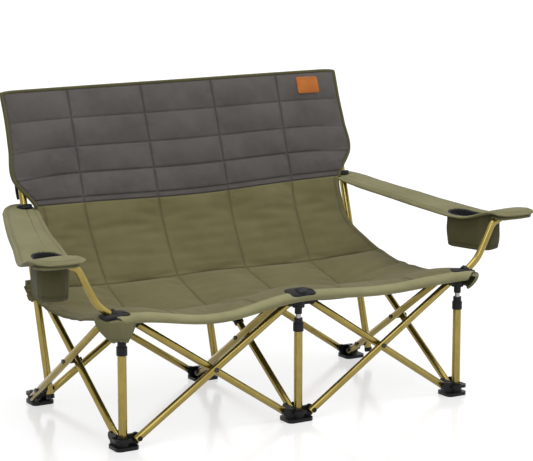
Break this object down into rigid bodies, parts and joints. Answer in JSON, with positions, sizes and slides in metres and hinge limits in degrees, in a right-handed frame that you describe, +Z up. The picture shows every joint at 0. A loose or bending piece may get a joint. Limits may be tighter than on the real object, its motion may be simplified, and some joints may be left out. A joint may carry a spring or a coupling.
{
  "type": "folding camping loveseat",
  "caption": "Two-seat folding camping chair: gold scissor frame on flat feet, olive cloth sling with quilted grey head panel, padded armrests with hanging cup holders.",
  "frame": {"origin": "on the floor, under the middle of the chair's box", "axes": "+X to the right seen from the front, +Y to the back, +Z up"},
  "size_m": [1.4676, 0.7006, 0.8212],
  "materials": {
    "gold_tube": "satin gold coating",
    "black_plastic": "moulded, fine grain",
    "rivet_steel": "plain rivet",
    "olive_cloth": "woven, padded",
    "grey_cloth": "woven, quilted"
  },
  "bodies": {
    "base_center": {"foot_front_center": "black_plastic", "post_front_center": "gold_tube", "collar_front_center": "black_plastic"},
    "base_left": {"foot_front_left": "black_plastic", "post_front_left": "gold_tube", "collar_front_left": "black_plastic"},
    "base_right": {"foot_front_right": "black_plastic", "post_front_right": "gold_tube", "collar_front_right": "black_plastic"},
    "foot_rear_left": {"foot_rear_left": "black_plastic"},
    "bar_side_left_inner": {"bar_side_left_inner": "gold_tube"},
    "bar_side_left_outer": {"bar_side_left_outer": "gold_tube", "rivet_side_left": "rivet_steel", "pin_post_left": "rivet_steel"},
    "hub_front_left": {"hub_front_left": "black_plastic", "rod_front_left": "gold_tube", "arm_tube_left": "gold_tube"},
    "hub_rear_left": {"hub_rear_left": "black_plastic"},
    "post_rear_left": {"post_rear_left": "gold_tube"},
    "foot_rear_center": {"foot_rear_center": "black_plastic"},
    "bar_side_center_inner": {"bar_side_center_inner": "gold_tube"},
    "bar_side_center_outer": {"bar_side_center_outer": "gold_tube", "rivet_side_center": "rivet_steel", "pin_post_center": "rivet_steel"},
    "hub_front_center": {"hub_front_center": "black_plastic", "rod_front_center": "gold_tube"},
    "hub_rear_center": {"hub_rear_center": "black_plastic"},
    "post_rear_center": {"post_rear_center": "gold_tube", "back_panel": "olive_cloth", "head_panel": "grey_cloth"},
    "foot_rear_right": {"foot_rear_right": "black_plastic"},
    "bar_side_right_inner": {"bar_side_right_inner": "gold_tube"},
    "bar_side_right_outer": {"bar_side_right_outer": "gold_tube", "rivet_side_right": "rivet_steel", "pin_post_right": "rivet_steel"},
    "hub_front_right": {"hub_front_right": "black_plastic", "rod_front_right": "gold_tube", "arm_tube_right": "gold_tube"},
    "hub_rear_right": {"hub_rear_right": "black_plastic"},
    "post_rear_right": {"post_rear_right": "gold_tube"},
    "bar_front_left_rising": {"bar_front_left_rising": "gold_tube", "rivet_front_left": "rivet_steel"},
    "bar_front_left_falling": {"bar_front_left_falling": "gold_tube"},
    "bar_front_right_rising": {"bar_front_right_rising": "gold_tube", "rivet_front_right": "rivet_steel"},
    "bar_front_right_falling": {"bar_front_right_falling": "gold_tube"},
    "bar_rear_left_rising": {"bar_rear_left_rising": "gold_tube", "rivet_rear_left": "rivet_steel"},
    "bar_rear_left_falling": {"bar_rear_left_falling": "gold_tube"},
    "bar_rear_right_rising": {"bar_rear_right_rising": "gold_tube", "rivet_rear_right": "rivet_steel"},
    "bar_rear_right_falling": {"bar_rear_right_falling": "gold_tube"},
    "seat": {"seat_panel": "olive_cloth"},
    "arm_left": {"armrest_left": "olive_cloth", "cup_holder_left": "olive_cloth"},
    "arm_right": {"armrest_right": "olive_cloth", "cup_holder_right": "olive_cloth"}
  },
  "joints": [
    {"name": "fold", "type": "hinge", "parent": "base_center", "child": "bar_side_center_inner", "pos_m": [0, -0.26428, 0.027], "axis": [1, 0, 0], "range_deg": [0, 50], "deforming": ["seat_panel", "back_panel", "head_panel", "armrest_left", "armrest_right", "cup_holder_left", "cup_holder_right"]},
    {"name": "cross_side_center", "type": "hinge", "parent": "bar_side_center_inner", "child": "bar_side_center_outer", "pos_m": [-0.014, -0.05028, 0.1695], "axis": [1, 0, 0], "range_deg": [-100, 0]},
    {"name": "hub_front_center_pivot", "type": "hinge", "parent": "bar_side_center_outer", "child": "hub_front_center", "pos_m": [-0.028, -0.26428, 0.312], "axis": [1, 0, 0], "range_deg": [0, 50]},
    {"name": "foot_rear_center_pivot", "type": "hinge", "parent": "bar_side_center_outer", "child": "foot_rear_center", "pos_m": [-0.028, 0.16372, 0.027], "axis": [1, 0, 0], "range_deg": [0, 50]},
    {"name": "hub_rear_center_pivot", "type": "hinge", "parent": "bar_side_center_inner", "child": "hub_rear_center", "pos_m": [0, 0.16372, 0.312], "axis": [1, 0, 0], "range_deg": [-50, 0]},
    {"name": "post_rear_center_pivot", "type": "hinge", "parent": "bar_side_center_outer", "child": "post_rear_center", "pos_m": [-0.014, 0.12044, 0.05582], "axis": [1, 0, 0], "range_deg": [0, 61.64]},
    {"name": "front_right_pivot", "type": "hinge", "parent": "base_center", "child": "bar_front_right_rising", "pos_m": [0.036, -0.30428, 0.027], "axis": [0, 1, 0], "range_deg": [-50, 0]},
    {"name": "cross_front_right", "type": "hinge", "parent": "bar_front_right_rising", "child": "bar_front_right_falling", "pos_m": [0.25, -0.30428, 0.1695], "axis": [0, 1, 0], "range_deg": [0, 100]},
    {"name": "hub_front_right_pivot", "type": "hinge", "parent": "bar_front_right_rising", "child": "hub_front_right", "pos_m": [0.464, -0.30428, 0.312], "axis": [0, 1, 0], "range_deg": [0, 50]},
    {"name": "foot_front_right_pivot", "type": "hinge", "parent": "bar_front_right_falling", "child": "base_right", "pos_m": [0.464, -0.30428, 0.027], "axis": [0, 1, 0], "range_deg": [-50, 0]},
    {"name": "front_left_pivot", "type": "hinge", "parent": "base_center", "child": "bar_front_left_falling", "pos_m": [-0.036, -0.30428, 0.027], "axis": [0, 1, 0], "range_deg": [0, 50]},
    {"name": "cross_front_left", "type": "hinge", "parent": "bar_front_left_falling", "child": "bar_front_left_rising", "pos_m": [-0.25, -0.30428, 0.1695], "axis": [0, 1, 0], "range_deg": [-100, 0]},
    {"name": "hub_front_left_pivot", "type": "hinge", "parent": "bar_front_left_falling", "child": "hub_front_left", "pos_m": [-0.464, -0.30428, 0.312], "axis": [0, 1, 0], "range_deg": [-50, 0]},
    {"name": "foot_front_left_pivot", "type": "hinge", "parent": "bar_front_left_rising", "child": "base_left", "pos_m": [-0.464, -0.30428, 0.027], "axis": [0, 1, 0], "range_deg": [0, 50]},
    {"name": "rear_right_pivot", "type": "hinge", "parent": "foot_rear_center", "child": "bar_rear_right_rising", "pos_m": [0.036, 0.20372, 0.027], "axis": [0, 1, 0], "range_deg": [-50, 0]},
    {"name": "cross_rear_right", "type": "hinge", "parent": "bar_rear_right_rising", "child": "bar_rear_right_falling", "pos_m": [0.25, 0.20372, 0.1695], "axis": [0, 1, 0], "range_deg": [0, 100]},
    {"name": "hub_rear_right_pivot", "type": "hinge", "parent": "bar_rear_right_rising", "child": "hub_rear_right", "pos_m": [0.464, 0.20372, 0.312], "axis": [0, 1, 0], "range_deg": [0, 50]},
    {"name": "foot_rear_right_pivot", "type": "hinge", "parent": "bar_rear_right_falling", "child": "foot_rear_right", "pos_m": [0.464, 0.20372, 0.027], "axis": [0, 1, 0], "range_deg": [-50, 0]},
    {"name": "rear_left_pivot", "type": "hinge", "parent": "foot_rear_center", "child": "bar_rear_left_falling", "pos_m": [-0.036, 0.20372, 0.027], "axis": [0, 1, 0], "range_deg": [0, 50]},
    {"name": "cross_rear_left", "type": "hinge", "parent": "bar_rear_left_falling", "child": "bar_rear_left_rising", "pos_m": [-0.25, 0.20372, 0.1695], "axis": [0, 1, 0], "range_deg": [-100, 0]},
    {"name": "hub_rear_left_pivot", "type": "hinge", "parent": "bar_rear_left_falling", "child": "hub_rear_left", "pos_m": [-0.464, 0.20372, 0.312], "axis": [0, 1, 0], "range_deg": [-50, 0]},
    {"name": "foot_rear_left_pivot", "type": "hinge", "parent": "bar_rear_left_rising", "child": "foot_rear_left", "pos_m": [-0.464, 0.20372, 0.027], "axis": [0, 1, 0], "range_deg": [0, 50]},
    {"name": "side_left_pivot", "type": "hinge", "parent": "foot_rear_left", "child": "bar_side_left_outer", "pos_m": [-0.528, 0.16372, 0.027], "axis": [1, 0, 0], "range_deg": [-50, 0]},
    {"name": "cross_side_left", "type": "hinge", "parent": "bar_side_left_outer", "child": "bar_side_left_inner", "pos_m": [-0.514, -0.05028, 0.1695], "axis": [1, 0, 0], "range_deg": [0, 100]},
    {"name": "post_rear_left_pivot", "type": "hinge", "parent": "bar_side_left_outer", "child": "post_rear_left", "pos_m": [-0.514, 0.12044, 0.05582], "axis": [1, 0, 0], "range_deg": [0, 61.64]},
    {"name": "side_right_pivot", "type": "hinge", "parent": "foot_rear_right", "child": "bar_side_right_outer", "pos_m": [0.472, 0.16372, 0.027], "axis": [1, 0, 0], "range_deg": [-50, 0]},
    {"name": "cross_side_right", "type": "hinge", "parent": "bar_side_right_outer", "child": "bar_side_right_inner", "pos_m": [0.486, -0.05028, 0.1695], "axis": [1, 0, 0], "range_deg": [0, 100]},
    {"name": "post_rear_right_pivot", "type": "hinge", "parent": "bar_side_right_outer", "child": "post_rear_right", "pos_m": [0.486, 0.12044, 0.05582], "axis": [1, 0, 0], "range_deg": [0, 61.64]},
    {"name": "seat_hang", "type": "hinge", "parent": "hub_front_center", "child": "seat", "pos_m": [0, -0.30028, 0.337], "axis": [1, 0, 0], "range_deg": [-86, 0]},
    {"name": "arm_left_hang", "type": "hinge", "parent": "post_rear_left", "child": "arm_left", "pos_m": [-0.5, 0.25572, 0.519], "axis": [1, 0, 0], "range_deg": [-63.95, 0]},
    {"name": "arm_right_hang", "type": "hinge", "parent": "post_rear_right", "child": "arm_right", "pos_m": [0.5, 0.25572, 0.519], "axis": [1, 0, 0], "range_deg": [-63.95, 0]}
  ],
  "couplings": [
    {"joint": "cross_side_center", "follows": "fold", "ratio": -2},
    {"joint": "hub_front_center_pivot", "follows": "fold", "ratio": 1},
    {"joint": "foot_rear_center_pivot", "follows": "fold", "ratio": 1},
    {"joint": "hub_rear_center_pivot", "follows": "fold", "ratio": -1},
    {"joint": "post_rear_center_pivot", "follows": "fold", "ratio": 1.2328},
    {"joint": "front_right_pivot", "follows": "fold", "ratio": -1},
    {"joint": "cross_front_right", "follows": "fold", "ratio": 2},
    {"joint": "hub_front_right_pivot", "follows": "fold", "ratio": 1},
    {"joint": "foot_front_right_pivot", "follows": "fold", "ratio": -1},
    {"joint": "front_left_pivot", "follows": "fold", "ratio": 1},
    {"joint": "cross_front_left", "follows": "fold", "ratio": -2},
    {"joint": "hub_front_left_pivot", "follows": "fold", "ratio": -1},
    {"joint": "foot_front_left_pivot", "follows": "fold", "ratio": 1},
    {"joint": "rear_right_pivot", "follows": "fold", "ratio": -1},
    {"joint": "cross_rear_right", "follows": "fold", "ratio": 2},
    {"joint": "hub_rear_right_pivot", "follows": "fold", "ratio": 1},
    {"joint": "foot_rear_right_pivot", "follows": "fold", "ratio": -1},
    {"joint": "rear_left_pivot", "follows": "fold", "ratio": 1},
    {"joint": "cross_rear_left", "follows": "fold", "ratio": -2},
    {"joint": "hub_rear_left_pivot", "follows": "fold", "ratio": -1},
    {"joint": "foot_rear_left_pivot", "follows": "fold", "ratio": 1},
    {"joint": "side_left_pivot", "follows": "fold", "ratio": -1},
    {"joint": "cross_side_left", "follows": "fold", "ratio": 2},
    {"joint": "post_rear_left_pivot", "follows": "fold", "ratio": 1.2328},
    {"joint": "side_right_pivot", "follows": "fold", "ratio": -1},
    {"joint": "cross_side_right", "follows": "fold", "ratio": 2},
    {"joint": "post_rear_right_pivot", "follows": "fold", "ratio": 1.2328},
    {"joint": "seat_hang", "follows": "fold", "ratio": -1.72},
    {"joint": "arm_left_hang", "follows": "fold", "ratio": -1.279},
    {"joint": "arm_right_hang", "follows": "fold", "ratio": -1.279}
  ]
}
